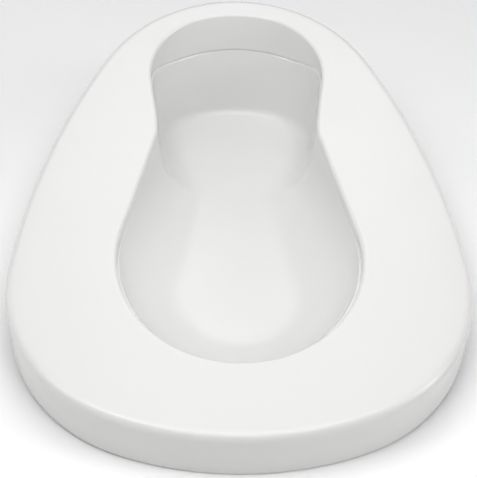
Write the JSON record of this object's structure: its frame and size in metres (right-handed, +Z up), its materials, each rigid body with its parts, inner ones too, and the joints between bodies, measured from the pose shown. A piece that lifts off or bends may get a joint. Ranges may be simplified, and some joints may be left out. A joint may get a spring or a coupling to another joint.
{
  "type": "contour bedpan",
  "caption": "Wedge-shaped bedpan, low at its wide end and high at its narrow end, with a smooth flat seat round a keyhole opening over a rounded bowl.",
  "frame": {"origin": "centre of the plan outline, on the floor that the bedpan rests on", "axes": "+Z up; +Y along the length, from the low wide end to the high narrow end; +X across"},
  "size_m": [0.292, 0.368, 0.0933],
  "materials": {
    "seat_plastic": "gloss white moulded polypropylene",
    "bowl_plastic": "gloss white moulded polypropylene"
  },
  "bodies": {
    "root": {"seat": "seat_plastic", "bowl": "bowl_plastic"}
  },
  "joints": []
}
